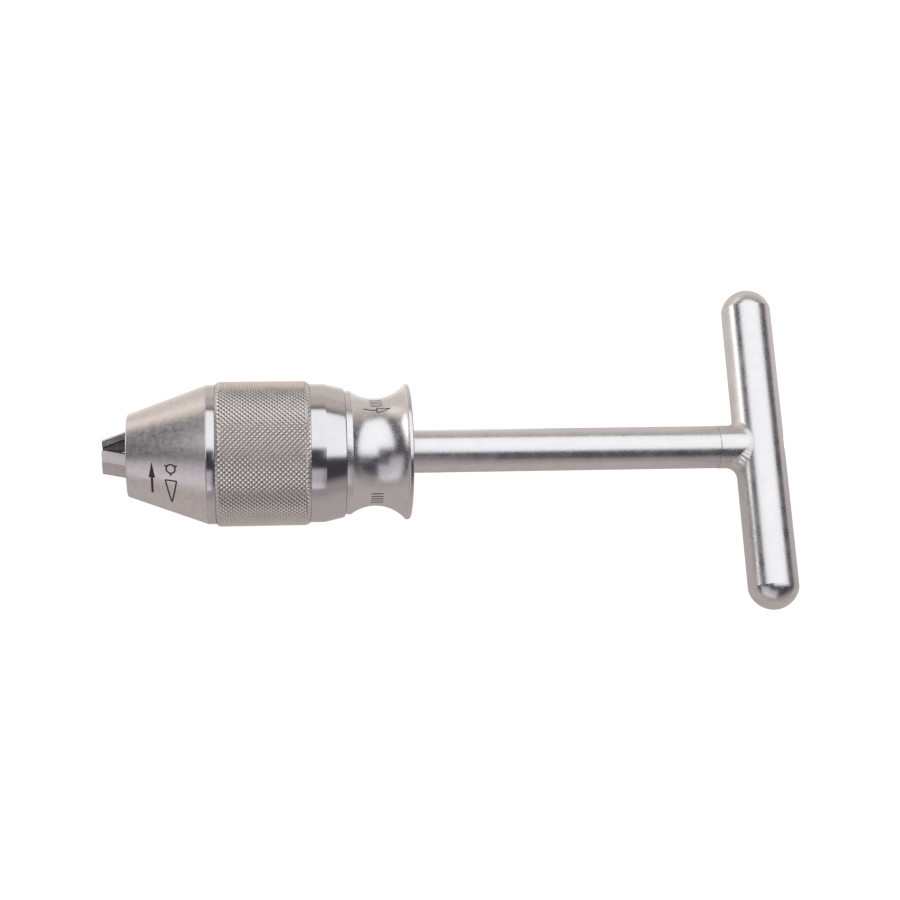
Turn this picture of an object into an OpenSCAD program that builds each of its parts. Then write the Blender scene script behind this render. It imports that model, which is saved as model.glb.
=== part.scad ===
// T-handle keyless hand drill: a three-jaw chuck with a knurled sleeve and a
// pull-back release collar, on a hollow shaft with a cross bar for a handle.
// +X runs along the drill axis from the nose to the handle, and the cross bar
// lies along Y. The origin is on the axis, at the front rim of the nose.

/* [Nose and sleeve] */
// Diameter of the nose at its front rim
nose_d = 22.6; // [22.4:0.2:23.4]
// Diameter over the knurled sleeve
sleeve_d = 40; // [39.6:0.2:42]
// Length of the knurled sleeve
sleeve_l = 25.5; // [25.1:0.1:26]
// Diameter of the plain band behind the sleeve
band_d = 38.4; // [38:0.2:39]

/* [Jaws] */
// Angle between the jaws' slide and the drill axis
jaw_angle = 20; // [19:0.5:20.5]
// Width of a jaw across its back
jaw_w = 6.6; // [5.4:0.2:6.6]
// How far the jaws stand out of the nose at rest
jaw_reach = 6.7; // [5:0.1:8]
// Diameter of the wire that the jaws hold at rest
grip_d = 2; // [1.8:0.1:2.4]
// Turn of the first jaw about the axis, from +Y
first_jaw = 18.5; // [0:0.5:120]

/* [Release collar] */
// Diameter of the collar's waist
waist_d = 29.9; // [29.4:0.1:31]
// Diameter of the collar's rear flange
flange_d = 37.9; // [37:0.1:39]
// Radius of the hollow that makes the waist
waist_curve = 11.15; // [10.8:0.05:11.5]

/* [Shaft and handle] */
// Diameter of the shaft
shaft_d = 12; // [11.6:0.1:12.6]
// Diameter of the through bore for a guide wire
bore_d = 5; // [4:0.1:5.4]
// Distance from the nose rim to the joint between shaft and handle
shaft_end = 165.2; // [130:0.2:200]
// Diameter of the cross bar
bar_d = 14.2; // [13.8:0.1:16]
// Length of the cross bar over its round ends
bar_l = 94.7; // [70:0.1:130]

/* [Hidden] */
$fn = 96;
gap = 0.1;            // sliding clearance on each side
fit = 0.05;           // radial clearance of a running fit
air = 0.3;            // clearance between parts that never touch
past = 1;             // how far a cutter runs past what it cuts
slope = tan(jaw_angle);

// Stations along X, from the nose rim
nose_l = 23.9;
cone_l = 21.5;        // end of the matt cone, where the polished band starts
lip = 0.13;           // height of the polished band over the cone
sleeve_x = 24;
sleeve_end = sleeve_x + sleeve_l;
sleeve_edge = 0.6;    // fall of the chamfer at each end of the sleeve
drum_end = sleeve_end - 0.5;
guide_x = 1.5;        // front of the jaw guide
cavity_x = 19.2;      // floor of the cavity for the screw head
web_end = 24.8;       // end of the web that joins plug and drum
body_x = 34.6;        // front of the chuck body
race_x = 38;          // rear face of the body's flange
race_t = 1;
ball_r = 1.48;
ball_x = race_x + race_t + 1.5;
thrust_x = ball_x + 1.5 + race_t;   // front face of the retaining collar
seal_x = 48;
seat_x = 51;          // shoulder of the lock seat
band_end = 53.7;      // start of the band's long chamfer
collar_end = 59.05;
release_x = 59.3;     // front face of the release collar
neck_x = 61;          // end of the release collar's front band
waist_x = 67.6;
release_end = 77.2;
hub_step = 58;
hub_end = 66.4;
socket_x = 54;        // floor of the shaft's socket in the hub
thread_end = 52;
key_slot_x = 63;
lock_end = 64;        // rear of the lock cone
web_x = 66;           // web inside the release collar
chamber_x = 67.2;
washer_x = 73.6;
washer_t = 0.8;
cap_x = 75.7;
spigot_l = 8.2;       // joint between shaft and handle stub

// Radii
sleeve_r = sleeve_d / 2;
nose_r = nose_d / 2;
rim_edge = 0.45;
cone_r = nose_r + cone_l * slope;
nose_in_r = 7.8;      // inside of the nose at the rim
nose_bore_r = nose_in_r + slope * nose_l;
drum_in_r = 17.2;
drum_r = 18.3;
head_r = 13.5;
screw_r = 6.5;
hub_r = 11;
neck_r = 8.6;         // the hub behind its step
seat_r = 12.85;
lock_r = 13;          // bore of the release collar
front_r = 17.2;       // front band of the release collar
web_r = 8.9;
chamber_r = 11.5;
shaft_r = shaft_d / 2;
bore_r = bore_d / 2;
wire_gap = 0.5;       // clearance of the bore ahead of the shaft
spigot_r = 4.6;
socket_r = 4.2;       // joint between shaft and handle stub
groove = 0.5;         // depth of the circlip's groove
pin_r = 1.5;
seal_r = 0.65;
seal_w = 1.6;         // width of the seal's groove
key_w = 4;
key_in_r = 6.9;       // inner ends of the key ring's two keys
pitch_r = 14;         // circle of the bearing balls
ball_count = 16;
bar_r = bar_d / 2;
stub_r = shaft_r + 0.08;
bar_x = shaft_end + 12.5;

// Jaws
jaw_count = 3;
back_r = 6.94;        // back of a jaw over the axis, at the nose rim
back_n = back_r * cos(jaw_angle);
back_flat = 2;        // width of the flat along a jaw's back
back_drop = 0.46;     // fall of the back from that flat to the sides
slab_t = 2;           // thickness of the wide part of a jaw
blade_w = 2.6;
jaw_depth = 9;
slot_over = 1.1;      // height of the guide's slots over the jaws' backs
guide_in_r = 3.5;     // bore of the guide between the jaws
tail_top = 14.2;
tail_bottom = 8;
slab_end = 21.3;
head_x = 21.6;        // front of the screw head
head_end = 28;
hook_x = 23.6;
hook_end = 26.1;
hook_w = 4.2;         // width of a jaw's foot in the screw head
screw_end = 45;
gable_gap = 0.25;     // ridge of a jaw, inside the wire's surface

// Spring
spring_r = 9.9;
spring_wire = 0.4;
spring_turns = 3;
spring_steps = 24;    // per turn
spring_sides = 8;

// A solid turned about the drill axis from [x, radius] points
module turned(outline) {
    rotate([0, 90, 0])
        rotate_extrude()
            polygon([for (p = outline) [p[1], p[0]]]);
}

// A cylinder on the drill axis
module rod(from_x, to_x, radius) {
    translate([from_x, 0, 0])
        rotate([0, 90, 0])
            cylinder(h = to_x - from_x, r = radius);
}

// A ring on the drill axis
module ring(from_x, to_x, outer_r, inner_r) {
    difference() {
        rod(from_x, to_x, outer_r);
        rod(from_x - past, to_x + past, inner_r);
    }
}

// A prism along X from [y, z] points
module along_x(from_x, to_x, outline) {
    translate([from_x, 0, 0])
        rotate([90, 0, 90])
            linear_extrude(to_x - from_x)
                polygon(outline);
}

// A box centred on Y, from its X and Z ends
module block(x_ends, width, z_ends) {
    translate([x_ends[0], -width / 2, z_ends[0]])
        cube([x_ends[1] - x_ends[0], width, z_ends[1] - z_ends[0]]);
}

// Places a child that points along +Z at one jaw's place round the axis
module at_jaw(index) {
    rotate([first_jaw - 90 + 360 / jaw_count * index, 0, 0])
        children();
}

// A polyhedron from equal rings of points, closed into a loop or capped at its ends
module swept(rings, loop) {
    count = len(rings);
    sides = len(rings[0]);
    spans = loop ? count : count - 1;
    points = [for (one = rings) for (p = one) p];
    walls = [
        for (i = [0:spans - 1])
            for (k = [0:sides - 1])
                [
                    i * sides + k,
                    i * sides + (k + 1) % sides,
                    (i + 1) % count * sides + (k + 1) % sides,
                    (i + 1) % count * sides + k
                ]
    ];
    near_cap = [[for (k = [0:sides - 1]) sides - 1 - k]];
    far_cap = [[for (k = [0:sides - 1]) (count - 1) * sides + k]];
    polyhedron(points, loop ? walls : concat(walls, near_cap, far_cap), convexity = 6);
}

// ---- Rotor: turns with the sleeve ----

module nose_cone() {
    color("darkgray")
        turned([
            [0, nose_in_r],
            [0, nose_r - rim_edge],
            [rim_edge, nose_r + rim_edge * slope],
            [cone_l, cone_r],
            [cone_l + gap, cone_r + lip],
            [nose_l, cone_r + lip],
            [nose_l, nose_bore_r]
        ]);
}

// The T-shaped slot for one jaw, open through the guide's outside
module jaw_slot() {
    half_slab = jaw_w / 2 + gap;
    half_blade = blade_w / 2 + gap;
    floor_n = back_n - jaw_depth - 0.15;
    step_n = back_n - slab_t - gap;
    intersection() {
        rotate([0, -jaw_angle, 0])
            along_x(-20, 40, [
                [-half_blade, floor_n],
                [half_blade, floor_n],
                [half_blade, step_n],
                [half_slab, step_n],
                [half_slab, back_n + slot_over],
                [-half_slab, back_n + slot_over],
                [-half_slab, step_n],
                [-half_blade, step_n]
            ]);
        block([guide_x - past, web_end + 0.1], jaw_w + past, [-drum_in_r, drum_in_r - air]);
    }
}

module jaw_guide() {
    color("silver")
        difference() {
            turned([
                [guide_x, guide_in_r],
                [guide_x, nose_in_r + slope * guide_x],
                [nose_l, nose_bore_r],
                [nose_l, drum_r],
                [drum_end, drum_r],
                [drum_end, drum_in_r],
                [web_end, drum_in_r],
                [web_end, head_r + air],
                [cavity_x, head_r + air],
                [cavity_x, guide_in_r]
            ]);
            for (i = [0:jaw_count - 1])
                at_jaw(i)
                    jaw_slot();
        }
}

module knurled_sleeve() {
    color("lightgray")
        turned([
            [sleeve_x, drum_r],
            [sleeve_x, sleeve_r - sleeve_edge],
            [sleeve_x + 1, sleeve_r],
            [sleeve_end - 1, sleeve_r],
            [sleeve_end, sleeve_r - sleeve_edge],
            [sleeve_end, drum_r]
        ]);
}

module retaining_collar() {
    color("silver")
        turned([
            [thrust_x, hub_r + air],
            [thrust_x, drum_in_r],
            [drum_end, drum_in_r],
            [drum_end, drum_r],
            [sleeve_end + gap, drum_r],
            [sleeve_end + gap, band_d / 2],
            [band_end, band_d / 2],
            [collar_end, band_d / 2 - 1.25],
            [collar_end, seat_r + 1.5],
            [seat_x, seat_r],
            [seat_x, hub_r + air]
        ]);
}

module rotating_race() {
    color("gray")
        ring(thrust_x - race_t, thrust_x, drum_in_r, hub_r + air);
}

// ---- Thrust bearing ----

module ball_cage() {
    color("goldenrod")
        difference() {
            ring(ball_x - 0.8, ball_x + 0.8, pitch_r + 1.9, pitch_r - 1.9);
            for (i = [0:ball_count - 1])
                rotate([360 / ball_count * i, 0, 0])
                    translate([0, 0, pitch_r])
                        rod(ball_x - 2, ball_x + 2, ball_r + 0.08);
        }
}

module bearing_balls() {
    color("white")
        for (i = [0:ball_count - 1])
            rotate([360 / ball_count * i, 0, 0])
                translate([ball_x, 0, pitch_r])
                    sphere(r = ball_r, $fn = 24);
}

// ---- Jaw screw and jaws ----

module jaw_screw() {
    slot_floor = tail_bottom - 0.8;
    color("gray")
        difference() {
            union() {
                rod(head_x, head_end, head_r);
                rod(head_end - past, screw_end, screw_r);
            }
            rod(head_x - past, screw_end + past, bore_r + wire_gap);
            for (i = [0:jaw_count - 1])
                at_jaw(i) {
                    block([head_x - past, hook_x], blade_w + 2 * gap, [slot_floor, head_r + past]);
                    block([hook_x - gap, hook_end + gap], hook_w + 2 * gap, [slot_floor, head_r + past]);
                }
        }
}

// One jaw, in the plane of +X and +Z, with its gripping edge along the axis
module jaw() {
    ridge = grip_d / 2 - gable_gap;
    reach_y = 12;
    color("dimgray")
        difference() {
            union() {
                intersection() {
                    rotate([0, -jaw_angle, 0])
                        along_x(-20, 40, [
                            [-blade_w / 2, back_n - jaw_depth],
                            [blade_w / 2, back_n - jaw_depth],
                            [blade_w / 2, back_n - slab_t],
                            [jaw_w / 2, back_n - slab_t],
                            [jaw_w / 2, back_n - back_drop],
                            [back_flat / 2, back_n],
                            [-back_flat / 2, back_n],
                            [-jaw_w / 2, back_n - back_drop],
                            [-jaw_w / 2, back_n - slab_t],
                            [-blade_w / 2, back_n - slab_t]
                        ]);
                    along_x(-jaw_reach, slab_end, [
                        [0, ridge],
                        [reach_y, ridge + reach_y * tan(30)],
                        [reach_y, tail_top],
                        [-reach_y, tail_top],
                        [-reach_y, ridge + reach_y * tan(30)]
                    ]);
                }
                block([slab_end - 2, hook_x + 0.5], blade_w, [tail_bottom, tail_top - 2]);
                block([slab_end - 0.5, hook_x + 0.5], blade_w, [tail_bottom, tail_top]);
                block([hook_x, hook_end], hook_w, [tail_bottom, tail_top]);
            }
            rod(-jaw_reach - past, slab_end, grip_d / 2);
        }
}

module jaw_1() {
    at_jaw(0)
        jaw();
}

module jaw_2() {
    at_jaw(1)
        jaw();
}

module jaw_3() {
    at_jaw(2)
        jaw();
}

// ---- Chuck body and shaft: one stiff unit with the handle ----

// Two radial holes or pins that hold the shaft in the hub
module pin_pair(from_r, to_r) {
    for (side = [0, 180])
        rotate([side, 0, 0])
            translate([socket_x + 2, 0, from_r])
                cylinder(h = to_r - from_r, r = pin_r);
}

module chuck_body() {
    color("silver")
        difference() {
            turned([
                [body_x, screw_r + fit],
                [body_x, drum_in_r - 0.7],
                [body_x + 0.4, drum_in_r - air],
                [race_x, drum_in_r - air],
                [race_x, hub_r],
                [seal_x - seal_w / 2, hub_r],
                [seal_x - seal_w / 2, hub_r - seal_r - 0.4],
                [seal_x + seal_w / 2, hub_r - seal_r - 0.4],
                [seal_x + seal_w / 2, hub_r],
                [hub_step, hub_r],
                [hub_step, neck_r],
                [hub_end, neck_r],
                [hub_end, spigot_r],
                [socket_x, spigot_r],
                [socket_x, bore_r + wire_gap],
                [thread_end, bore_r + wire_gap],
                [thread_end, screw_r + fit]
            ]);
            pin_pair(3, hub_r + past);
            for (side = [90, -90])
                rotate([side, 0, 0])
                    block([key_slot_x, hub_end + past], key_w + 2 * gap, [key_in_r - gap, neck_r + past]);
        }
}

module fixed_race() {
    color("gray")
        ring(race_x, race_x + race_t, drum_in_r - 0.4, hub_r);
}

module hub_seal() {
    color("black")
        rotate([0, 90, 0])
            rotate_extrude()
                translate([hub_r - 0.4, seal_x])
                    circle(r = seal_r, $fn = 24);
}

module shaft_pins() {
    color("gray")
        pin_pair(bore_r + wire_gap, hub_r - 0.4);
}

module shaft_tube() {
    color("lightgray")
        difference() {
            union() {
                rod(socket_x, hub_end + past, spigot_r);
                rod(hub_end, shaft_end, shaft_r);
            }
            rod(socket_x - past, shaft_end + past, bore_r);
            rod(shaft_end - spigot_l, shaft_end + past, socket_r);
            ring(washer_x + washer_t, washer_x + 2 * washer_t, shaft_r + past, shaft_r - groove);
            pin_pair(bore_r + wire_gap, hub_r);
        }
}

module spring_washer() {
    color("silver")
        ring(washer_x, washer_x + washer_t, chamber_r - 0.6, shaft_r);
}

module spring_circlip() {
    color("dimgray")
        difference() {
            ring(washer_x + washer_t, washer_x + 2 * washer_t, shaft_r + 2, shaft_r - groove);
            block([washer_x, cap_x], 3, [-shaft_r - 3, 0]);
        }
}

// ---- Handle ----

// The cross bar's cylinder, which also shapes the end of the stub
module bar_cylinder(length) {
    translate([bar_x, length / 2, 0])
        rotate([90, 0, 0])
            cylinder(h = length, r = bar_r);
}

module handle_stub() {
    color("lightgray")
        difference() {
            union() {
                rod(shaft_end - spigot_l, shaft_end + past, socket_r);
                rod(shaft_end, bar_x, stub_r);
            }
            rod(shaft_end - spigot_l - past, bar_x, bore_r);
            bar_cylinder(4 * stub_r);
        }
}

// A weld bead that follows the line where the stub meets the bar
module handle_weld() {
    bead_r = 1.3;
    path_r = stub_r + 0.3;
    steps = 48;
    sides = 8;
    rings = [
        for (i = [0:steps - 1])
            let(
                a = 360 / steps * i,
                height = path_r * sin(a),
                x = bar_x - sqrt(pow(bar_r, 2) - pow(height, 2))
            )
            [
                for (k = [0:sides - 1])
                    let(b = 360 / sides * (k + 0.5), r = path_r + bead_r * cos(b))
                        [x - 0.1 + bead_r * sin(b), r * cos(a), r * sin(a)]
            ]
    ];
    color("silver")
        swept(rings, true);
}

module handle_bar() {
    half = bar_l / 2 - bar_r;
    color("lightgray")
        difference() {
            union() {
                bar_cylinder(2 * half);
                for (side = [-1, 1])
                    translate([bar_x, side * half, 0])
                        sphere(r = bar_r);
            }
            rod(bar_x - bar_r - past, bar_x + bar_r + past, bore_r);
            translate([bar_x + bar_r - 1.1, 0, 0])
                rotate([0, 90, 0])
                    cylinder(h = 2.2, r1 = bore_r, r2 = bore_r + 2.2);
        }
}

// ---- Release collar: slides back along the shaft ----

module release_collar() {
    flange_r = flange_d / 2;
    color("silver")
        rotate([0, 90, 0])
            rotate_extrude()
                difference() {
                    polygon([
                        [lock_r, release_x],
                        [front_r - 0.15, release_x],
                        [front_r, release_x + 0.2],
                        [front_r, neck_x],
                        [flange_r, neck_x],
                        [flange_r, release_end - 0.5],
                        [flange_r - 0.5, release_end],
                        [chamber_r, release_end],
                        [chamber_r, chamber_x],
                        [web_r, chamber_x],
                        [web_r, web_x],
                        [lock_r, web_x]
                    ]);
                    translate([waist_d / 2 + waist_curve, waist_x])
                        circle(r = waist_curve);
                    translate([front_r, neck_x - past])
                        square([5, 3]);
                }
}

module lock_cone() {
    color("gray")
        turned([
            [seat_x + 0.5, hub_r + air],
            [seat_x + 0.5, seat_r - air],
            [release_x, seat_r + 1.2],
            [release_x, lock_r],
            [lock_end, lock_r],
            [lock_end, hub_r + air]
        ]);
}

module key_ring() {
    color("gray")
        union() {
            ring(lock_end, web_x, lock_r, web_r);
            for (side = [90, -90])
                rotate([side, 0, 0])
                    block([lock_end, web_x], key_w, [key_in_r, lock_r - past]);
        }
}

module end_cap() {
    color("silver")
        turned([
            [cap_x, shaft_r + fit],
            [cap_x, chamber_r],
            [release_end - 0.2, chamber_r],
            [release_end - 0.2, shaft_r + 0.6],
            [release_end - 0.7, shaft_r + fit]
        ]);
}

module release_spring() {
    total = spring_turns * spring_steps;
    length = washer_x - chamber_x - 2 * spring_wire - 0.1;
    start_x = chamber_x + spring_wire + 0.05;
    rings = [
        for (i = [0:total])
            let(a = 360 / spring_steps * i)
                [
                    for (k = [0:spring_sides - 1])
                        let(b = 360 / spring_sides * k, r = spring_r + spring_wire * cos(b))
                            [
                                start_x + length * i / total + spring_wire * sin(b),
                                r * cos(a),
                                r * sin(a)
                            ]
                ]
    ];
    color("dimgray")
        swept(rings, false);
}

nose_cone();
jaw_guide();
knurled_sleeve();
retaining_collar();
rotating_race();
ball_cage();
bearing_balls();
jaw_screw();
jaw_1();
jaw_2();
jaw_3();
chuck_body();
fixed_race();
hub_seal();
shaft_pins();
shaft_tube();
spring_washer();
spring_circlip();
handle_stub();
handle_weld();
handle_bar();
release_collar();
lock_cone();
key_ring();
end_cap();
release_spring();
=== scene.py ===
import math

import bmesh
import bpy
from mathutils import Matrix, Vector


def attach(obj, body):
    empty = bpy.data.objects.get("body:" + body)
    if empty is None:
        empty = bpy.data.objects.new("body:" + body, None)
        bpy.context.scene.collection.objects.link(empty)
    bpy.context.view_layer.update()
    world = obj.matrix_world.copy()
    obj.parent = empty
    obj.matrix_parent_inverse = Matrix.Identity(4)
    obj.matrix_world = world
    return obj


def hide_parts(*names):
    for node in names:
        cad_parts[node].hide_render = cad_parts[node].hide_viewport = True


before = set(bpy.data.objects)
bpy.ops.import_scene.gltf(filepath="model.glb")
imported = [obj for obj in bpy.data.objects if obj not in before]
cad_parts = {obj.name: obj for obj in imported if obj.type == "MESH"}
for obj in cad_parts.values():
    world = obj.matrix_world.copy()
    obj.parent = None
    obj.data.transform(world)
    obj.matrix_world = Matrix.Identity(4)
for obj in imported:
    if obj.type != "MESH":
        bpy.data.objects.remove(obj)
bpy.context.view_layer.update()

MM = 0.001
TURN = 2 * math.pi
STEPS, FINE_STEPS = 192, 256  # sides of a turned piece

# ---- Dimensions, in millimetres along the drill axis from the nose rim ----

CONE_R, SLOPE = 11.3, math.tan(math.radians(20))
NOSE_END = 23.9
SLEEVE_START, SLEEVE_END, SLEEVE_R = 24.0, 49.5, 20.0
BAND_R, BAND_END = 19.2, 59.1
SPOOL_START, SPOOL_END = 59.2, 77.2
SPOOL_FRONT_R, HOLLOW_START, HOLLOW_END_R = 17.2, 61.0, 18.55
WAIST_X, WAIST_R, WAIST_CURVE, FLANGE_R = 67.6, 14.95, 11.15, 18.95
WAIST_CENTRE_R = WAIST_R + WAIST_CURVE
HUB_END, SHAFT_END = 66.4, 165.2
SHAFT_R, STUB_R, BORE_R = 6.0, 6.08, 2.5
SPIGOT_START, SPIGOT_R = 157.0, 4.2
JOINT_GAP = 0.03
BAR_X, BAR_R, BAR_HALF = 177.7, 7.1, 47.35
FIRST_JAW, JAW_SPACING, BLADE_HALF = 18.5, 120, 1.3


# ---- Mesh tools ----


def smoothed(mesh, crease):
    """Makes a mesh smooth, but for the edges over an angle in degrees."""
    mesh.polygons.foreach_set("use_smooth", [True] * len(mesh.polygons))
    mesh.set_sharp_from_angle(angle=math.radians(crease))


def linked(name, mesh):
    """A new object of the scene that holds this mesh."""
    piece = bpy.data.objects.new(name, mesh)
    bpy.context.scene.collection.objects.link(piece)
    return piece


def finished(name, verts, faces, scale=MM):
    """A smooth mesh object from points and faces, with outward normals and creased corners."""
    mesh = bpy.data.meshes.new(name)
    mesh.from_pydata([tuple(c * scale for c in v) for v in verts], [], faces)
    work = bmesh.new()
    work.from_mesh(mesh)
    bmesh.ops.remove_doubles(work, verts=work.verts, dist=1e-7)
    bmesh.ops.recalc_face_normals(work, faces=work.faces)
    work.to_mesh(mesh)
    work.free()
    smoothed(mesh, crease=35)
    return linked(name, mesh)


def softened(name, node, width, crease=30):
    """A copy of a CAD node with its flat faces joined up and its edges broken by a width in mm."""
    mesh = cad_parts[node].data.copy()
    mesh.name = name
    mesh.materials.clear()
    work = bmesh.new()
    work.from_mesh(mesh)
    bmesh.ops.remove_doubles(work, verts=work.verts, dist=1e-6)
    bmesh.ops.dissolve_limit(
        work, angle_limit=math.radians(1), verts=work.verts, edges=work.edges
    )
    work.to_mesh(mesh)
    work.free()
    smoothed(mesh, crease)
    piece = linked(name, mesh)
    bevel = piece.modifiers.new("edges", "BEVEL")
    bevel.width = width * MM
    bevel.segments = 2
    bevel.limit_method = "ANGLE"
    bevel.angle_limit = math.radians(30)
    bevel.harden_normals = True
    return piece


def rounded(corners, steps=5):
    """The loop of (x, r) corners, with an arc at each corner that has a third value, its radius."""
    loop = []
    for i, corner in enumerate(corners):
        here = Vector(corner[:2])
        if len(corner) < 3:
            loop.append(tuple(here))
            continue
        radius = corner[2]
        to_last = (Vector(corners[i - 1][:2]) - here).normalized()
        to_next = (Vector(corners[(i + 1) % len(corners)][:2]) - here).normalized()
        half = to_last.angle(to_next) / 2
        centre = here + (to_last + to_next).normalized() * radius / math.sin(half)
        reach = radius / math.tan(half)
        first = here + to_last * reach - centre
        last = here + to_next * reach - centre
        start = math.atan2(first.y, first.x)
        sweep = math.remainder(math.atan2(last.y, last.x) - start, TURN)
        for k in range(steps + 1):
            a = start + sweep * k / steps
            loop.append((centre.x + radius * math.cos(a), centre.y + radius * math.sin(a)))
    return loop


def arc(cx, cy, radius, start, end, steps):
    """Points on a circle in the plane, between two angles in degrees."""
    return [
        (cx + radius * math.cos(a), cy + radius * math.sin(a))
        for a in (math.radians(start + (end - start) * k / steps) for k in range(steps + 1))
    ]


def on_axis(x, r, a):
    """A point at distance x along the drill axis and radius r, at angle a from +Y."""
    return (x, r * math.cos(a), r * math.sin(a))


def ring_faces(steps, count):
    """The faces between rings of count points, with the last ring joined to the first."""
    faces = []
    for k in range(steps):
        m = (k + 1) % steps
        for i in range(count):
            n = (i + 1) % count
            faces.append((k * count + i, k * count + n, m * count + n, m * count + i))
    return faces


def lathe(name, loop, steps=STEPS):
    """A closed solid turned about the drill axis from a loop of (x, r) points."""
    verts = [on_axis(x, r, TURN * k / steps) for k in range(steps) for x, r in loop]
    return finished(name, verts, ring_faces(steps, len(loop)))


# ---- Materials ----

NOISE_MIDDLE, NOISE_BROAD = (0.3, 0.7), (0.25, 0.75)  # the parts of a noise that are spread out
LINE_STRETCH = (1.0, 0.02, 0.02)  # tool lines are fine along the drill axis and long round it
# painted shade: the near-black colour that the bottoms of grooves are darkened toward
GROOVE_SHADE = (0.03, 0.027, 0.025)


def add(tree, kind, settings=None, **inputs):
    """A new node, with its settings, and its inputs set or linked. A key such as in_1 is input 1."""
    made = tree.nodes.new(kind)
    for key, value in (settings or {}).items():
        setattr(made, key, value)
    for key, value in inputs.items():
        index = int(key[3:]) if key.startswith("in_") else key.replace("_", " ")
        if isinstance(value, bpy.types.NodeSocket):
            tree.links.new(value, made.inputs[index])
        else:
            made.inputs[index].default_value = value
    return made


def math_node(tree, operation, a, b=0.0, clamp=False):
    return add(
        tree, "ShaderNodeMath", {"operation": operation, "use_clamp": clamp}, in_0=a, in_1=b
    ).outputs[0]


def vector_node(tree, operation, output, **inputs):
    return add(tree, "ShaderNodeVectorMath", {"operation": operation}, **inputs).outputs[output]


def noise(tree, place, size, detail, rough):
    """Noise with features of about this size in millimetres, from 0 to 1."""
    return add(
        tree, "ShaderNodeTexNoise",
        Vector=place, Scale=1 / (size * MM), Detail=detail, Roughness=rough,
    ).outputs["Fac"]


def ramp(tree, value, low, high, out_low, out_high, **settings):
    """Maps low..high of a value to out_low..out_high, clamped."""
    return add(
        tree, "ShaderNodeMapRange", settings,
        Value=value, From_Min=low, From_Max=high, To_Min=out_low, To_Max=out_high,
    ).outputs["Result"]


def shade(tree, dark, light, amount):
    """A mix of two colours, each given as numbers or as another node's output."""
    ends = [c if isinstance(c, bpy.types.NodeSocket) else (*c, 1) for c in (dark, light)]
    return add(
        tree, "ShaderNodeMix", {"data_type": "RGBA"}, Factor=amount, A=ends[0], B=ends[1]
    ).outputs["Result"]


def steel(
    name,
    tone,
    rough,
    mottle=0.06,
    mottle_size=4.0,
    rough_spread=0.05,
    grain_size=0.35,
    grain_depth=0.008,
    lines=0.0,
    line_size=0.12,
    groove_shade=0.0,
    metal=1.0,
):
    """Bare metal: mottled tone, uneven polish, a fine grain, tool lines and painted shade in the low
    places.

    Sizes and depths are in millimetres. The tool lines are given as a share of the grain's depth.
    """
    material = bpy.data.materials.new(name)
    material.use_nodes = True
    tree = material.node_tree
    shader = tree.nodes["Principled BSDF"]
    place = tree.nodes.new("ShaderNodeTexCoord").outputs["Object"]
    patches = noise(tree, place, mottle_size, 4.0, 0.6)
    grain = noise(tree, place, grain_size, 3.0, 0.55)
    dark = [c * (1 - mottle) for c in tone]
    light = [min(1.0, c * (1 + mottle)) for c in tone]
    colour = shade(tree, dark, light, ramp(tree, patches, *NOISE_MIDDLE, 0.0, 1.0))
    # painted shade: darkens the colour where the mesh attribute low is high, at the bottoms of
    # grooves
    if groove_shade:
        low = add(tree, "ShaderNodeAttribute", {"attribute_name": "low"}).outputs["Fac"]
        colour = shade(tree, colour, GROOVE_SHADE, math_node(tree, "MULTIPLY", low, groove_shade))
    tree.links.new(colour, shader.inputs["Base Color"])
    shader.inputs["Metallic"].default_value = metal
    wear = math_node(
        tree, "ADD",
        ramp(tree, patches, *NOISE_BROAD, rough - rough_spread, rough + rough_spread),
        ramp(tree, grain, *NOISE_MIDDLE, -rough_spread / 2, rough_spread / 2),
        clamp=True,
    )
    tree.links.new(wear, shader.inputs["Roughness"])
    height = grain
    if lines:
        along = add(tree, "ShaderNodeMapping", Vector=place, Scale=LINE_STRETCH).outputs["Vector"]
        scored = noise(tree, along, line_size, 2.0, 0.6)
        height = math_node(tree, "ADD", grain, math_node(tree, "MULTIPLY", scored, lines))
    bump = add(
        tree, "ShaderNodeBump", Strength=1.0, Distance=grain_depth * MM, Height=height
    ).outputs["Normal"]
    tree.links.new(bump, shader.inputs["Normal"])
    return material


def soft_material(name, tone, rough, grain_size, grain_depth):
    """A material that isn't metal: ink or rubber, with a fine uneven surface."""
    return steel(
        name, tone, rough, mottle=0.25, mottle_size=0.8, grain_size=grain_size,
        grain_depth=grain_depth, metal=0.0,
    )


COOL = (0.70, 0.695, 0.70)

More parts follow.
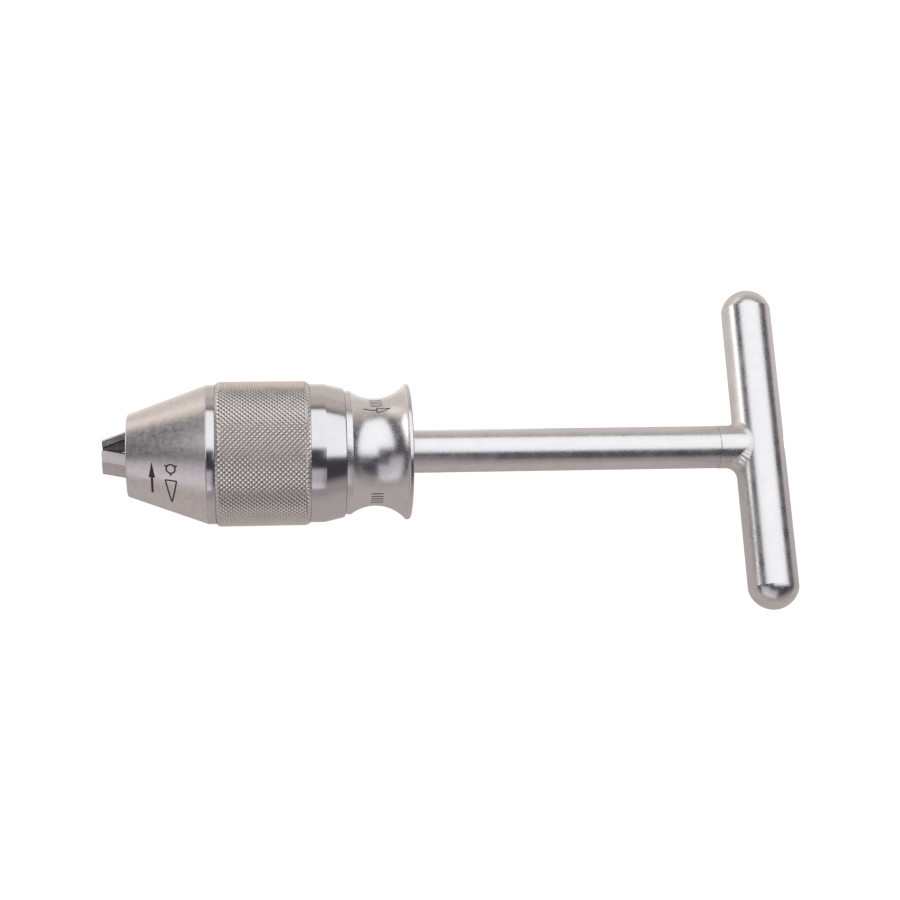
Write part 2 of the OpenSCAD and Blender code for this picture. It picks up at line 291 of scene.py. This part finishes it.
materials = {
    "blasted": steel(
        "blasted_steel", (0.74, 0.72, 0.71), 0.33, mottle=0.09, mottle_size=1.4,
        grain_size=0.22, grain_depth=0.018,
    ),
    "satin": steel(
        "satin_steel", COOL, 0.28, mottle=0.05, mottle_size=5, grain_size=0.4, grain_depth=0.016,
    ),
    "collar": steel(
        "collar_steel", COOL, 0.26, mottle=0.06, mottle_size=2.0,
        grain_size=0.4, grain_depth=0.012,
    ),
    "dome": steel(
        "hand_finished_steel", COOL, 0.26, mottle=0.08, mottle_size=2.0,
        grain_size=0.5, grain_depth=0.012,
    ),
    "polished": steel(
        "polished_steel", (0.63, 0.625, 0.63), 0.16, mottle=0.04, mottle_size=5,
        rough_spread=0.03, grain_size=0.4, grain_depth=0.004, lines=0.8,
    ),
    # painted shade: the knurl's grooves are darkened toward their bottoms
    "knurled": steel(
        "knurled_steel", (0.95, 0.905, 0.875), 0.32, mottle=0.06, mottle_size=2.5,
        grain_size=0.15, grain_depth=0.006, groove_shade=0.50,
    ),
    "ground": steel(
        "ground_steel", (0.62, 0.61, 0.61), 0.26, mottle=0.06, mottle_size=1.5,
        grain_size=0.25, grain_depth=0.003, lines=0.8, line_size=0.25,
    ),
    "flank": steel(
        "jaw_flank_steel", (0.24, 0.22, 0.21), 0.36, mottle=0.25, mottle_size=0.8,
        grain_size=0.2, grain_depth=0.008, lines=1.0,
    ),
    "weld": steel(
        "weld_steel", (0.69, 0.68, 0.67), 0.38, mottle=0.08, mottle_size=1.2,
        grain_size=0.3, grain_depth=0.012,
    ),
    "machined": steel(
        "machined_steel", (0.58, 0.575, 0.57), 0.30, mottle=0.07, mottle_size=3,
        grain_size=0.3, grain_depth=0.006, lines=2.0, line_size=0.15,
    ),
    "spring": steel(
        "spring_steel", (0.30, 0.29, 0.29), 0.32, mottle=0.12, mottle_size=1.0,
        grain_size=0.12, grain_depth=0.004,
    ),
    "brass": steel(
        "cage_brass", (0.72, 0.52, 0.24), 0.30, mottle=0.10, mottle_size=1.5,
        grain_size=0.2, grain_depth=0.005, lines=1.0,
    ),
    "rubber": soft_material("seal_rubber", (0.025, 0.025, 0.026), 0.6, 0.15, 0.01),
    "ink": soft_material("filled_ink", (0.030, 0.022, 0.024), 0.55, 0.1, 0.006),
}


def place_piece(piece, body, material, slot, *nodes):
    """Gives a piece its material and body, and hides the CAD nodes it stands for. The slot argument
    is not used.
    """
    piece.data.materials.clear()
    piece.data.materials.append(materials[material])
    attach(piece, body)
    if nodes:
        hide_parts(*nodes)
    return piece


def second_material(piece, material, test):
    """Gives another material to the faces of a piece that pass a test."""
    piece.data.materials.append(materials[material])
    for face in piece.data.polygons:
        if test(face):
            face.material_index = 1


# ---- Rotor ----


def nose():
    """The matt cone, its broken front edge, and the polished band behind it."""
    rim_r, bore_r = 11.27, 7.8
    cone_end, lip = 21.45, 0.14
    foot = CONE_R + cone_end * SLOPE
    back = NOSE_END - 0.02
    loop = rounded([
        (0.0, bore_r, 0.25),
        (0.0, rim_r, 0.45),
        (cone_end, foot, 0.1),
        (21.6, foot - 0.02),
        (21.72, foot + lip, 0.06),
        (back, foot + lip, 0.12),
        (back, bore_r + NOSE_END * SLOPE),
    ])
    piece = lathe("nose_shell", loop, FINE_STEPS)
    place_piece(piece, "rotor", "blasted", "blasted_steel", "nose_cone")
    band_start, band_inner = 21.5 * MM, 18.5 * MM

    def on_band(face):
        across = math.hypot(face.center.y, face.center.z)
        return face.center.x > band_start and across > band_inner

    second_material(piece, "polished", on_band)


def knurl():
    """The sleeve with a true diamond knurl.

    Two sets of crossing V grooves leave flat-topped diamonds. The attribute low is 1 in the
    bottom of a groove and 0 on a diamond, for the painted shade in the grooves.
    """
    around, rows = 90, 36
    depth, flat = 0.30, 0.18
    inner_r = 18.3
    chamfer_depth, chamfer_length = 0.6, 1.0
    pitch = (SLEEVE_END - SLEEVE_START) / rows
    step = TURN / (2 * around)
    sides = ((-1, 0), (0, 1), (1, 0), (0, -1))
    verts, faces, lows = [], [], []

    def crown(x):
        """The blank's radius, with its chamfered ends."""
        edge = min(x - SLEEVE_START, SLEEVE_END - x)
        return SLEEVE_R - chamfer_depth * max(0.0, 1 - edge / chamfer_length)

    def point(x, a, level):
        """A vertex at this depth below the crests, never above the blank."""
        r = min(crown(x), SLEEVE_R - level)
        verts.append(on_axis(x, r, a))
        lows.append(min(1.0, level / depth))
        return len(verts) - 1

    corners = {}

    def corner(i, j):
        """The low point where two grooves cross."""
        key = (i, j % (2 * around))
        if key not in corners:
            corners[key] = point(SLEEVE_START + pitch * i, step * key[1], depth)
        return corners[key]

    rim = {0: {}, rows: {}}
    for i in range(rows + 1):
        for j in range(2 * around):
            if (i + j) % 2 == 0:
                if i in rim:
                    rim[i][step * j] = corner(i, j)
                continue
            x, a = SLEEVE_START + pitch * i, step * j
            tips = {}
            for di, dj in sides:
                if 0 <= i + di <= rows:
                    tips[di, dj] = (
                        point(x + di * pitch * flat, a + dj * step * flat, 0.0),
                        corner(i + di, j + dj),
                    )
            turn = [side for side in sides if side in tips]
            faces.append([tips[d][0] for d in turn])
            for d, e in zip(turn, turn[1:] + turn[:1]):
                if abs(d[0] - e[0]) == 1:
                    faces.append([tips[d][0], tips[d][1], tips[e][1], tips[e][0]])
            if i in rim:
                for dj in (-1, 1):
                    rim[i][a + dj * step * flat] = tips[0, dj][0]

    # the two end faces, and the inner wall between them
    ends = []
    for i in (0, rows):
        ring = []
        for a in sorted(rim[i]):
            verts.append(on_axis(SLEEVE_START + pitch * i, inner_r, a))
            lows.append(0.0)
            ring.append((rim[i][a], len(verts) - 1))
        for one, two in zip(ring, ring[1:] + ring[:1]):
            faces.append([one[0], two[0], two[1], one[1]])
        ends.append([inner for _, inner in ring])
    for k in range(len(ends[0])):
        n = (k + 1) % len(ends[0])
        faces.append([ends[0][k], ends[0][n], ends[1][n], ends[1][k]])

    mesh = bpy.data.meshes.new("knurled_grip")
    mesh.from_pydata([tuple(c * MM for c in v) for v in verts], [], faces)
    mesh.attributes.new("low", "FLOAT", "POINT").data.foreach_set("value", lows)
    work = bmesh.new()
    work.from_mesh(mesh)
    bmesh.ops.recalc_face_normals(work, faces=work.faces)
    work.to_mesh(mesh)
    work.free()
    place_piece(
        linked("knurled_grip", mesh), "rotor", "knurled", "knurled_steel", "knurled_sleeve"
    )


def rear_band():
    """The plain band behind the knurl, its long chamfer, and the seat of the lock cone inside."""
    seat_r, wall_r, step_r = 11.3, 17.2, 18.3
    loop = rounded([
        (43.0, seat_r, 0.2),
        (43.0, wall_r),
        (49.0, wall_r),
        (49.0, step_r),
        (49.6, step_r),
        (49.6, BAND_R, 0.12),
        (53.7, BAND_R, 0.25),
        (BAND_END, BAND_R - 1.25, 0.2),
        (BAND_END, 14.35, 0.15),
        (51.0, 12.85),
        (51.0, seat_r, 0.2),
    ])
    piece = lathe("rear_band", loop, FINE_STEPS)
    place_piece(piece, "rotor", "polished", "polished_steel", "retaining_collar")


# ---- Release collar ----


def spool():
    """The waisted release collar with its rounded rear lip."""
    start = math.degrees(math.asin((WAIST_X - HOLLOW_START) / WAIST_CURVE))
    end = math.degrees(math.acos((WAIST_CENTRE_R - HOLLOW_END_R) / WAIST_CURVE))
    hollow = arc(WAIST_X, WAIST_CENTRE_R, WAIST_CURVE, -90 - start, -90 + end, 48)
    bore_r, recess_r, floor_r = 11.5, 13.0, 8.9
    front = rounded([
        (SPOOL_START, recess_r),
        (SPOOL_START, SPOOL_FRONT_R, 0.12),
        (HOLLOW_START, SPOOL_FRONT_R),
    ])[:-1] + [(60.9, SPOOL_FRONT_R)]
    lip = rounded([
        hollow[-1],
        (hollow[-1][0] + 0.25, FLANGE_R, 0.3),
        (SPOOL_END, FLANGE_R - 0.1, 0.45),
        (SPOOL_END, bore_r, 0.2),
    ])[1:]
    inside = [(67.2, bore_r), (67.2, floor_r), (66.0, floor_r), (66.0, recess_r)]
    piece = lathe("release_spool", front + hollow + lip + inside, FINE_STEPS)
    place_piece(piece, "collar", "collar", "polished_steel", "release_collar")


# ---- Shaft and handle ----


def shaft():
    """The plain shaft with its circlip groove, hollow for the stub's spigot at the back."""
    hub_r, groove_r = 4.6, 5.5
    end = SHAFT_END - JOINT_GAP
    loop = rounded([
        (54.0, BORE_R), (54.0, hub_r, 0.2), (HUB_END, hub_r), (HUB_END, SHAFT_R, 0.15),
        (74.4, SHAFT_R), (74.4, groove_r), (75.2, groove_r), (75.2, SHAFT_R),
        (end, SHAFT_R, 0.08), (end, SPIGOT_R), (SPIGOT_START, SPIGOT_R), (SPIGOT_START, BORE_R),
    ])
    place_piece(lathe("shaft", loop), "handle_and_shaft", "satin", "polished_steel", "shaft_tube")


def saddle_x(z, reach=BAR_R):
    """Where the bar's front surface, grown to this radius, lies at height z."""
    return BAR_X - math.sqrt(max(reach * reach - z * z, 0.0))


def stub():
    """The short length between the shaft and the bar, cut to the bar's curve."""
    start, chamfer = SHAFT_END + JOINT_GAP, 0.08
    loop = [
        (SPIGOT_START, BORE_R), (SPIGOT_START, SPIGOT_R), (start, SPIGOT_R),
        (start, STUB_R - chamfer), (SHAFT_END + 0.11, STUB_R),
    ]
    saddle = (STUB_R, (STUB_R + BORE_R) / 2, BORE_R)
    verts = []
    for k in range(STEPS):
        a = TURN * k / STEPS
        verts += [on_axis(x, r, a) for x, r in loop]
        verts += [on_axis(saddle_x(r * math.sin(a)), r, a) for r in saddle]
    piece = finished("handle_neck", verts, ring_faces(STEPS, len(loop) + len(saddle)))
    place_piece(piece, "handle_and_shaft", "satin", "polished_steel", "handle_stub")


def weld():
    """The fillet between stub and bar, smooth on top, and rippled along the near lower side."""
    arc_steps = 12
    mean_size, size_swing = 2.7, 0.6
    bead_middle, bead_half = 142, 27  # the rippled bead, in degrees
    bead_bulge, ripple_depth, ripples = 0.45, 0.13, 46
    root = 0.4
    verts = []
    for k in range(FINE_STEPS):
        a = TURN * k / FINE_STEPS
        size = mean_size - size_swing * math.cos(a)
        y, z = (STUB_R + size) * math.cos(a), (STUB_R + size) * math.sin(a)
        centre = Vector((saddle_x(z, BAR_R + size), y, z))
        to_stub = Vector((0, -math.cos(a), -math.sin(a)))
        to_bar = (Vector((BAR_X, y, 0)) - centre).normalized()
        sweep = to_stub.angle(to_bar)
        inside = max(0.0, 1 - ((math.degrees(a) - bead_middle) / bead_half) ** 2)
        height = bead_bulge + ripple_depth * math.cos(a * ripples)
        for i in range(arc_steps + 1):
            t = i / arc_steps
            way = (
                to_stub * math.sin((1 - t) * sweep) + to_bar * math.sin(t * sweep)
            ) / math.sin(sweep)
            bulge = math.sin(math.pi * t) * inside * height
            verts.append(tuple(centre + way * (size - bulge)))
        deep = STUB_R - root
        verts.append(on_axis(saddle_x(deep * math.sin(a)) + root, deep, a))
    piece = finished("handle_fillet", verts, ring_faces(FINE_STEPS, arc_steps + 2))
    place_piece(piece, "handle_and_shaft", "weld", "weld_steel", "handle_weld")


def bore(piece):
    """Cuts the through bore and its countersink at the back out of the bar."""
    front, crown = BAR_X - (BAR_R + 2), BAR_X + BAR_R
    almost_zero = 0.0001
    cutter = lathe("bore_cutter", [
        (front, almost_zero), (front, BORE_R), (crown - 2.0, BORE_R), (crown - 1.1, 3.3),
        (crown - 0.3, 4.2), (crown + 0.4, 5.3), (crown + 0.4, almost_zero),
    ], 96)
    cut = piece.modifiers.new("bore", "BOOLEAN")
    cut.operation = "DIFFERENCE"
    cut.solver = "EXACT"
    cut.object = cutter
    graph = bpy.context.evaluated_depsgraph_get()
    bored = bpy.data.meshes.new_from_object(piece.evaluated_get(graph))
    piece.modifiers.clear()
    piece.data = bored
    bpy.data.objects.remove(cutter)


def handle():
    """The cross bar, with a hand-finished dome at each end that meets the bar at a faint crease."""
    end_steps, bar_steps = 24, 40
    lean = math.radians(10)
    point = 0.05
    dome_r = BAR_R / math.cos(lean)
    middle = BAR_HALF - dome_r
    straight = middle + dome_r * math.sin(lean)
    loop = [
        (-middle - dome_r * math.cos(t), dome_r * math.sin(t) * (1 - point * math.cos(t) ** 4))
        for t in ((math.pi / 2 - lean) * k / end_steps for k in range(1, end_steps + 1))
    ]
    loop += [(straight * (2 * k / bar_steps - 1), BAR_R) for k in range(1, bar_steps)]
    loop += [(-y, r) for y, r in reversed(loop[:end_steps])]
    verts = [(BAR_X, -BAR_HALF, 0.0)]
    for y, r in loop:
        for k in range(STEPS):
            a = TURN * k / STEPS
            verts.append((BAR_X + r * math.cos(a), y, r * math.sin(a)))
    verts.append((BAR_X, BAR_HALF, 0.0))
    faces = []
    last = 1 + (len(loop) - 1) * STEPS
    for k in range(STEPS):
        n = (k + 1) % STEPS
        faces.append((0, 1 + k, 1 + n))
        for base in range(1, last, STEPS):
            faces.append((base + k, base + n, base + STEPS + n, base + STEPS + k))
        faces.append((len(verts) - 1, last + n, last + k))
    piece = finished("cross_bar", verts, faces)
    bore(piece)
    smoothed(piece.data, crease=8)
    place_piece(piece, "handle_and_shaft", "satin", "polished_steel", "handle_bar")
    second_material(piece, "dome", lambda face: abs(face.center.y) > straight * MM)


# ---- Marks filled with black ----

INK_STEP, INK_TOP, INK_BOTTOM = 0.25, 0.012, -0.06
NOSE_MARK_TURN = 115


def stroke(store, path, width, place, closed=False):
    """Adds a raised line to store, along a path of (u, v) points in millimetres.

    place(u, v, height) lays a point on the surface. The width may be one number, or one for each
    end of the path.
    """
    verts, faces = store
    widths = width if isinstance(width, tuple) else (width, width)
    section = ((1, INK_TOP), (-1, INK_TOP), (-1, INK_BOTTOM), (1, INK_BOTTOM))
    points = [Vector(p) for p in path]
    if closed:
        points.append(points[0])
    dense = [points[0]]
    for one, two in zip(points, points[1:]):
        pieces = max(1, round((two - one).length / INK_STEP))
        dense += [one.lerp(two, k / pieces) for k in range(1, pieces + 1)]
    if closed:
        dense.pop()
    total = len(dense)
    first = len(verts)
    for i, p in enumerate(dense):
        last = dense[i - 1] if i or closed else p
        after = dense[(i + 1) % total] if i + 1 < total or closed else p
        along = (after - last).normalized()
        side = Vector((-along.y, along.x))
        half = (widths[0] + (widths[1] - widths[0]) * i / max(1, total - 1)) / 2
        for sign, height in section:
            spot = p + side * half * sign
            verts.append(place(spot.x, spot.y, height))
    for i in range(total if closed else total - 1):
        here, there = first + 4 * i, first + 4 * ((i + 1) % total)
        for k in range(4):
            m = (k + 1) % 4
            faces.append((here + k, here + m, there + m, there + k))
    if not closed:
        faces.append(tuple(first + k for k in range(4)))
        faces.append(tuple(first + 4 * (total - 1) + 3 - k for k in range(4)))


def nose_marks():
    """An arrow in the direction that opens the jaws, and a wedge from a small to a large ring."""
    def on_nose(centre_x):
        scale = 1 / (CONE_R + centre_x * SLOPE)

        def place(u, v, height):
            x = centre_x + u
            turn = math.radians(NOSE_MARK_TURN) + v * scale
            return on_axis(x, CONE_R + x * SLOPE + height, turn)
        return place

    store = ([], [])
    arrow = on_nose(7.1)
    stroke(store, [(0, 0), (0, 4.2)], (0.06, 1.75), arrow)
    stroke(store, [(0, 4.0), (0, 9.2)], 0.62, arrow)
    sign = on_nose(12.2)
    ring_v, ring_r, tick_end, line = 1.6, 1.2, 1.95, 0.42
    stroke(store, arc(0, ring_v, ring_r, 0, 360, 24)[:-1], line, sign, closed=True)
    for turn in (90, 210, 330):
        c, s = math.cos(math.radians(turn)), math.sin(math.radians(turn))
        tick = [(r * c, ring_v + r * s) for r in (ring_r, tick_end)]
        stroke(store, tick, line, sign)
    stroke(store, [(1.5, 4.9), (-1.5, 4.9), (0, 12.6)], 0.4, sign, closed=True)
    place_piece(finished("open_marks", *store), "rotor", "ink", "blasted_steel")


def spool_marks():
    """An outlined arrow that points back along the drill, with plain bars on each side of it."""
    marks_x, marks_r = 67.8, 15.4
    line, bar_half, bar_pitch = 0.38, 1.7, 1.25

    def on_spool(turn):
        def place(u, v, height):
            x = marks_x + u
            r = WAIST_CENTRE_R - math.sqrt(WAIST_CURVE ** 2 - (x - WAIST_X) ** 2)
            return on_axis(x, r + height, math.radians(turn) + v / marks_r)
        return place

    store = ([], [])
    arrow = on_spool(57.5)
    stroke(store, [(-3.7, 0), (0.1, 0)], line, arrow)
    stroke(store, [(0.1, 1.05), (0.1, -1.05), (3.7, 0)], 0.3, arrow, closed=True)
    for turn, count in ((43, 4), (166, 5)):
        sign = on_spool(turn)
        for k in range(count):
            v = bar_pitch * (k - (count - 1) / 2)
            stroke(store, [(-bar_half, v), (bar_half, v)], line, sign)
    place_piece(finished("release_marks", *store), "collar", "ink", "polished_steel")


# ---- Jaws and inner parts ----


def jaw(number):
    """One jaw, with bright ground outer faces and dark flanks."""
    turn = math.radians(FIRST_JAW + JAW_SPACING * (number - 1))
    across = Vector((0, -math.sin(turn), math.cos(turn)))
    outward = Vector((0, math.cos(turn), math.sin(turn)))
    piece = softened(f"chuck_jaw_{number}", f"jaw_{number}", 0.09, crease=6)
    place_piece(piece, f"jaw_{number}", "ground", "hardened_steel", f"jaw_{number}")

    def on_flank(face):
        near = abs(face.center.dot(across)) < (BLADE_HALF + 0.1) * MM
        return near and face.normal.dot(outward) < 0.5 and abs(face.normal.x) < 0.9

    second_material(piece, "flank", on_flank)


# CAD nodes that show as they are, by material
KEPT = {
    "machined": ["chuck_body", "jaw_screw", "lock_cone", "key_ring", "spring_washer"],
    "ground": ["fixed_race", "rotating_race", "shaft_pins"],
    "polished": ["bearing_balls"],
    "spring": ["spring_circlip", "release_spring"],
    "brass": ["ball_cage"],
    "rubber": ["hub_seal"],
}

nose()
knurl()
rear_band()
spool()
shaft()
stub()
weld()
handle()
nose_marks()
spool_marks()
for number in (1, 2, 3):
    jaw(number)
place_piece(
    softened("slotted_guide", "jaw_guide", 0.12), "rotor", "machined", "machined_steel", "jaw_guide"
)
place_piece(
    softened("rear_cap", "end_cap", 0.1), "collar", "machined", "machined_steel", "end_cap"
)
for material, nodes in KEPT.items():
    for node in nodes:
        for material_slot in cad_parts[node].material_slots:
            material_slot.material = materials[material]


# ---- Camera: above the tool and a little in front of it, with its axes in the tool's frame ----

CAMERA_AZIMUTH, CAMERA_ELEVATION, CAMERA_ROLL = (
    math.radians(a) for a in (-20.978, 71.792, 19.189)
)
CAMERA_PLACE = Vector((33.67, -143.75, 468.91)) * MM

camera_back = Vector((
    math.sin(CAMERA_AZIMUTH) * math.cos(CAMERA_ELEVATION),
    -math.cos(CAMERA_AZIMUTH) * math.cos(CAMERA_ELEVATION),
    math.sin(CAMERA_ELEVATION),
))
level = Vector((math.cos(CAMERA_AZIMUTH), math.sin(CAMERA_AZIMUTH), 0))
camera_right = Matrix.Rotation(CAMERA_ROLL, 3, camera_back) @ level
camera_up = camera_back.cross(camera_right)

camera_data = bpy.data.cameras.new("camera")
camera_data.lens = 70.56
camera_data.sensor_width = 36
camera = bpy.data.objects.new("camera", camera_data)
camera.matrix_world = Matrix.Translation(CAMERA_PLACE) @ Matrix(
    (camera_right, camera_up, camera_back)
).transposed().to_4x4()
bpy.context.scene.collection.objects.link(camera)
bpy.context.scene.camera = camera


# ---- Floor ----

# The tool lies on the rear edge of its knurl and on the flange of the release collar.
REST_FRONT = (SLEEVE_END - 1.0, SLEEVE_R)
REST_BACK = (SPOOL_END - 0.5, FLANGE_R)
FLOOR_HALF, FLOOR_CELLS, FLOOR_GAP = 4000.0, 16, 0.02
FLOOR_SEEN = (0.96, 0.96, 0.96)

# What the metal sees of the floor: dimmer in front, brighter behind, and a pool of light behind
# the head. The fades between them are in metres.
FLOOR_FRONT = (0.385, 0.342, 0.32)
FLOOR_BEHIND = (0.55, 0.50, 0.465)
FLOOR_POOL = (0.98, 0.92, 0.87)
BEHIND_FADE_Y = (0.0, 0.03)
POOL_FADE_X, POOL_FADE_Y = (0.10, 0.13), (0.03, 0.06)


def floor():
    """A broad pale sheet, near white to the eye and dimmer in reflections."""
    slope = (REST_FRONT[1] - REST_BACK[1]) / (REST_BACK[0] - REST_FRONT[0])
    verts, faces = [], []
    for i in range(FLOOR_CELLS + 1):
        for j in range(FLOOR_CELLS + 1):
            x = FLOOR_HALF * (2 * i / FLOOR_CELLS - 1)
            y = FLOOR_HALF * (2 * j / FLOOR_CELLS - 1)
            verts.append((x, y, -REST_FRONT[1] + slope * (x - REST_FRONT[0]) - FLOOR_GAP))
    row = FLOOR_CELLS + 1
    for i in range(FLOOR_CELLS):
        for j in range(FLOOR_CELLS):
            a = i * row + j
            faces.append((a, a + row, a + row + 1, a + 1))
    sheet = finished("floor", verts, faces)
    if sheet.data.polygons[0].normal.z < 0:
        sheet.data.flip_normals()
    material = bpy.data.materials.new("pale_floor")
    material.use_nodes = True
    tree = material.node_tree
    shader = tree.nodes["Principled BSDF"]
    shader.inputs["Base Color"].default_value = (0.25, 0.25, 0.25, 1)
    shader.inputs["Roughness"].default_value = 0.9
    shader.inputs["Specular IOR Level"].default_value = 0.0
    shader.inputs["Emission Strength"].default_value = 1.0
    coordinates = tree.nodes.new("ShaderNodeTexCoord").outputs["Object"]
    place = add(tree, "ShaderNodeSeparateXYZ", Vector=coordinates)
    behind = ramp(tree, place.outputs["Y"], *BEHIND_FADE_Y, 0.0, 1.0)
    pool_x = ramp(tree, place.outputs["X"], *POOL_FADE_X, 1.0, 0.0)
    pool_y = ramp(tree, place.outputs["Y"], *POOL_FADE_Y, 1.0, 0.0)
    pool = math_node(tree, "MULTIPLY", pool_x, math_node(tree, "MULTIPLY", behind, pool_y))
    plain = shade(tree, FLOOR_FRONT, FLOOR_BEHIND, behind)
    reflected = shade(tree, plain, FLOOR_POOL, pool)
    seen = tree.nodes.new("ShaderNodeLightPath").outputs["Is Camera Ray"]
    tree.links.new(shade(tree, reflected, FLOOR_SEEN, seen), shader.inputs["Emission Color"])
    sheet.data.materials.append(material)


floor()


# ---- Light: a softbox near the tool, and a dark studio far away ----

OVERHEAD = (1.30, 1.30, 1.32)
STRIP = (2.3, 2.24, 2.2)
REFLECTOR = (0.60, 0.565, 0.60)
GLOW = (0.64, 0.57, 0.50)
FRONT_WALL = (0.35, 0.31, 0.30)
BACK_WALL = (0.60, 0.53, 0.49)
AMBIENT = (0.055, 0.052, 0.062)

# The softbox lies at this distance in millimetres from the tool's origin toward the camera. Its
# spans to the camera's right and up are shares of that distance.
SOFTBOX_DISTANCE = 405
SHEET_X, SHEET_Y = (-0.75, 2.8), (-0.3, 4.2)
LIT_X, LIT_Y, LIT_FEATHER = (-0.563, 2.59), (-0.13, 4.0), 0.07
FLAG_X, FLAG_Y = (-2.2, 0.326), (-0.5, 0.13)


def from_camera(right, up, back):
    """A direction given along the camera's axes, in the tool's frame."""
    return (camera_right * right + camera_up * up + camera_back * back).normalized()


def panel(tree, ray, facing, x_span, y_span, feather=0.06, scale=1.0):
    """1 inside a flat panel and 0 outside it. Its spans are tangents from its facing direction."""
    across = camera_up.cross(facing).normalized()
    upright = facing.cross(across)
    depth = vector_node(tree, "DOT_PRODUCT", "Value", in_0=ray, in_1=facing)
    nearest = 0.02 * scale
    inside = math_node(tree, "GREATER_THAN", depth, nearest)
    safe = math_node(tree, "MAXIMUM", depth, nearest)
    for axis, (low, high) in ((across, x_span), (upright, y_span)):
        along = vector_node(tree, "DOT_PRODUCT", "Value", in_0=ray, in_1=axis)
        place = math_node(tree, "DIVIDE", along, safe)
        off = math_node(tree, "ABSOLUTE", math_node(tree, "SUBTRACT", place, (low + high) / 2))
        half = (high - low) / 2
        edge = ramp(
            tree, off, half - feather, half + feather, 1.0, 0.0, interpolation_type="SMOOTHSTEP"
        )
        inside = math_node(tree, "MULTIPLY", inside, edge)
    return inside


def softbox():
    """The overhead light: a sheet near the tool with soft edges and one corner flagged off."""
    corners = [(SHEET_X[i], SHEET_Y[j]) for i, j in ((0, 0), (1, 0), (1, 1), (0, 1))]
    verts = [camera_back + camera_right * x + camera_up * y for x, y in corners]
    scale = SOFTBOX_DISTANCE * MM
    sheet = finished("softbox", verts, [(0, 1, 2, 3)], scale)
    material = bpy.data.materials.new("softbox")
    material.use_nodes = True
    tree = material.node_tree
    tree.nodes.clear()
    place = tree.nodes.new("ShaderNodeTexCoord").outputs["Object"]
    flag = panel(tree, place, camera_back, FLAG_X, FLAG_Y, scale=scale)
    open_part = math_node(tree, "SUBTRACT", 1.0, flag)
    sheet_part = panel(tree, place, camera_back, LIT_X, LIT_Y, LIT_FEATHER, scale)
    lit = math_node(tree, "MULTIPLY", open_part, sheet_part)
    clear = add(tree, "ShaderNodeBsdfTransparent").outputs[0]
    glow = add(tree, "ShaderNodeEmission", Color=(*OVERHEAD, 1), Strength=1.0).outputs[0]
    mixed = add(tree, "ShaderNodeMixShader", in_0=lit, in_1=clear, in_2=glow).outputs[0]
    add(tree, "ShaderNodeOutputMaterial", Surface=mixed)
    sheet.data.materials.append(material)
    sheet.visible_camera = False
    sheet.visible_shadow = False


def wall(tree, ray, side, top):
    """1 low down behind the tool (side 1) or in front of it (side -1), with a fade at its top."""
    axes = add(tree, "ShaderNodeSeparateXYZ", Vector=ray)
    under = ramp(tree, axes.outputs["Z"], *top, 1.0, 0.0)
    toward = ramp(tree, axes.outputs["Y"], 0.35 * side, 0.75 * side, 0.0, 1.0)
    return math_node(tree, "MULTIPLY", under, toward)


def studio():
    """A strip light on the left, a reflector in front, and dim warm walls, all far away."""
    world = bpy.data.worlds.new("studio")
    bpy.context.scene.world = world
    world.use_nodes = True
    tree = world.node_tree
    tree.nodes.clear()
    ray = tree.nodes.new("ShaderNodeTexCoord").outputs["Generated"]
    left = from_camera(-0.955, 0.325, 0.01)
    above = from_camera(0, 0, 1)
    back_left = Vector((-0.5, 0.86, 0.05)).normalized()
    sources = [
        (STRIP, panel(tree, ray, left, (-0.55, 0.25), (-0.24, 0.28))),
        (REFLECTOR, panel(tree, ray, above, (-2.2, 0.20), (-1.8, -0.50))),
        (REFLECTOR, panel(tree, ray, above, (-2.2, -0.45), (-0.50, -0.22))),
        (GLOW, panel(tree, ray, back_left, (-0.35, 0.20), (-0.4, 0.25), 0.15)),
        (FRONT_WALL, wall(tree, ray, -1, (0.24, 0.42))),
        (BACK_WALL, wall(tree, ray, 1, (0.30, 0.50))),
    ]
    total = AMBIENT
    for colour, inside in sources:
        lit = vector_node(tree, "SCALE", 0, in_0=colour, Scale=inside)
        total = vector_node(tree, "ADD", 0, in_0=total, in_1=lit)
    light = add(tree, "ShaderNodeBackground", Color=total, Strength=1.0).outputs[0]
    pale = add(tree, "ShaderNodeBackground", Color=(1, 1, 1, 1), Strength=1.0).outputs[0]
    seen = tree.nodes.new("ShaderNodeLightPath").outputs["Is Camera Ray"]
    mixed = add(tree, "ShaderNodeMixShader", in_0=seen, in_1=light, in_2=pale).outputs[0]
    add(tree, "ShaderNodeOutputWorld", Surface=mixed)


softbox()
studio()
bpy.context.scene.view_settings.view_transform = "Standard"
